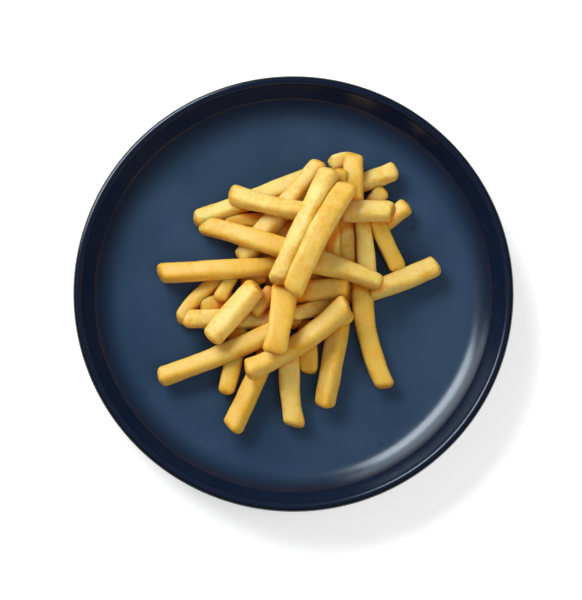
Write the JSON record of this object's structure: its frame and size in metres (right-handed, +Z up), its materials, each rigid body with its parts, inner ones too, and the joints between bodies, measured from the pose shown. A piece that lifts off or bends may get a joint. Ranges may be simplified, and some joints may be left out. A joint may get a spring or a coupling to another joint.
{
  "type": "plate of french fries",
  "caption": "A portion of thick straight-cut french fries heaped loosely in the middle of a round, deep-rimmed stoneware plate with a dark blue glazed well and a black rim",
  "frame": {"origin": "the middle of the foot ring, on the table", "axes": "+Z up, out of the plate; -Y towards the diner, where the fanned fry ends point; +X to the diner's right"},
  "size_m": [0.27, 0.27, 0.0543],
  "materials": {
    "plate": "glossy dark blue glaze in the well, black glaze on the rim and the outside",
    "fries": "golden fried potato, dry and slightly rough"
  },
  "bodies": {
    "root": {"plate": "plate", "fries": "fries"}
  },
  "joints": []
}
